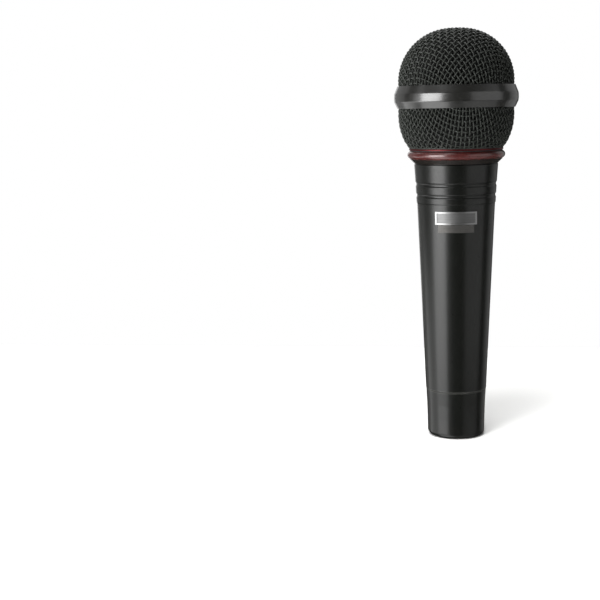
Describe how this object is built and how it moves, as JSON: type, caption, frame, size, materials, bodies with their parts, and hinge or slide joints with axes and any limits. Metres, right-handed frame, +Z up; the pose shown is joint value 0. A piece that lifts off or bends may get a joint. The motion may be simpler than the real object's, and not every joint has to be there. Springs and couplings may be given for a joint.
{
  "type": "karaoke microphone",
  "caption": "Hand-held vocal microphone with a woven ball grille, equator band, red neck ring, tapered black handle, slide switch and a recessed pin connector in its tail.",
  "frame": {"origin": "centre of the tail's bottom face, on the microphone's axis", "axes": "+Z up the axis towards the grille; -Y is the badge side, +Y the switch side"},
  "size_m": [0.0542, 0.0542, 0.181],
  "materials": {
    "satin_black_paint": "satin black coating, very fine texture",
    "grille_wire": "black powder-coated woven steel wire",
    "gloss_black_band": "gloss black enamel",
    "red_metallic": "gloss metallic red lacquer",
    "zinc_plate": "turned and zinc plated",
    "collar_lacquer": "black plated, with a dark red lacquered rim",
    "neck_metal": "machined",
    "foam": "open-cell windshield foam",
    "rubber": "matte moulded rubber",
    "badge_silver": "satin silver with a raised border",
    "badge_grey": "printed satin grey",
    "switch_plate_black": "semi-gloss black",
    "switch_knob_grey": "moulded, ribbed",
    "switch_moulding": "moulded",
    "black_screws": "black oxide",
    "nickel": "satin nickel plate",
    "insulator_black": "glass-filled moulding",
    "silver_plate": "silver plated contacts",
    "capsule_metal": "satin anodised",
    "capsule_plastic": "moulded",
    "felt": "acoustic felt and cloth",
    "board": "paper-phenolic board",
    "magnet_plate": "nickel plated magnet",
    "copper_coil": "enamelled copper winding",
    "diaphragm_film": "thin clear film",
    "lead_insulation": "flexible lead insulation"
  },
  "bodies": {
    "handle": {"handle_shell": "satin_black_paint", "neck_insert": "neck_metal", "tail_sleeve": "satin_black_paint", "insert_screw": "black_screws", "connector_shell": "nickel", "connector_insulator": "insulator_black", "contact_pins": "silver_plate", "badge_plate": "badge_silver", "badge_strip": "badge_grey", "switch_plate": "switch_plate_black", "switch_screws": "black_screws", "switch_body": "switch_moulding", "shock_mount": "rubber", "capsule_shell": "capsule_metal", "capsule_baffle": "capsule_plastic", "capsule_cap": "capsule_metal", "acoustic_screen": "felt", "rear_felt": "felt", "terminal_board": "board", "terminal_tags": "silver_plate", "magnet_yoke": "zinc_plate", "magnet": "magnet_plate", "pole_plate": "zinc_plate", "diaphragm_clamp": "capsule_plastic", "capsule_leads": "lead_insulation", "output_leads": "lead_insulation"},
    "switch_slider": {"switch_knob": "switch_knob_grey"},
    "moving_coil": {"voice_coil": "copper_coil", "diaphragm_dome": "diaphragm_film", "diaphragm_surround": "diaphragm_film"},
    "accent_ring": {"accent_ring": "red_metallic"},
    "gasket": {"neck_gasket": "rubber"},
    "grille_head": {"grille_collar": "collar_lacquer", "mesh_bowl": "grille_wire", "mesh_dome": "grille_wire", "equator_band": "gloss_black_band", "band_inner_hoop": "zinc_plate", "foam_dome": "foam", "foam_bowl": "foam"}
  },
  "joints": [
    {"name": "switch_slide", "type": "slide", "parent": "handle", "child": "switch_slider", "axis": [0, 0.0433, 0.9991], "range_m": [0, 0.004]},
    {"name": "diaphragm_travel", "type": "slide", "parent": "handle", "child": "moving_coil", "axis": [0, 0, 1], "range_m": [-0.0003, 0.0003], "stiffness_N_per_m": 90, "deforming": ["diaphragm_surround"]},
    {"name": "lift_off", "type": "slide", "parent": "handle", "child": "accent_ring", "axis": [0, 0, 1], "range_m": [0, 0.06]},
    {"name": "thread_lift", "type": "slide", "parent": "accent_ring", "child": "gasket", "axis": [0, 0, 1], "range_m": [0, 0.004]},
    {"name": "grille_turn", "type": "hinge", "parent": "gasket", "child": "grille_head", "pos_m": [0, 0, 0.1264], "axis": [0, 0, 1], "range_deg": [0, 1440]}
  ],
  "couplings": [
    {"joint": "thread_lift", "follows": "grille_turn", "m_per_rad": 0.00015915}
  ]
}
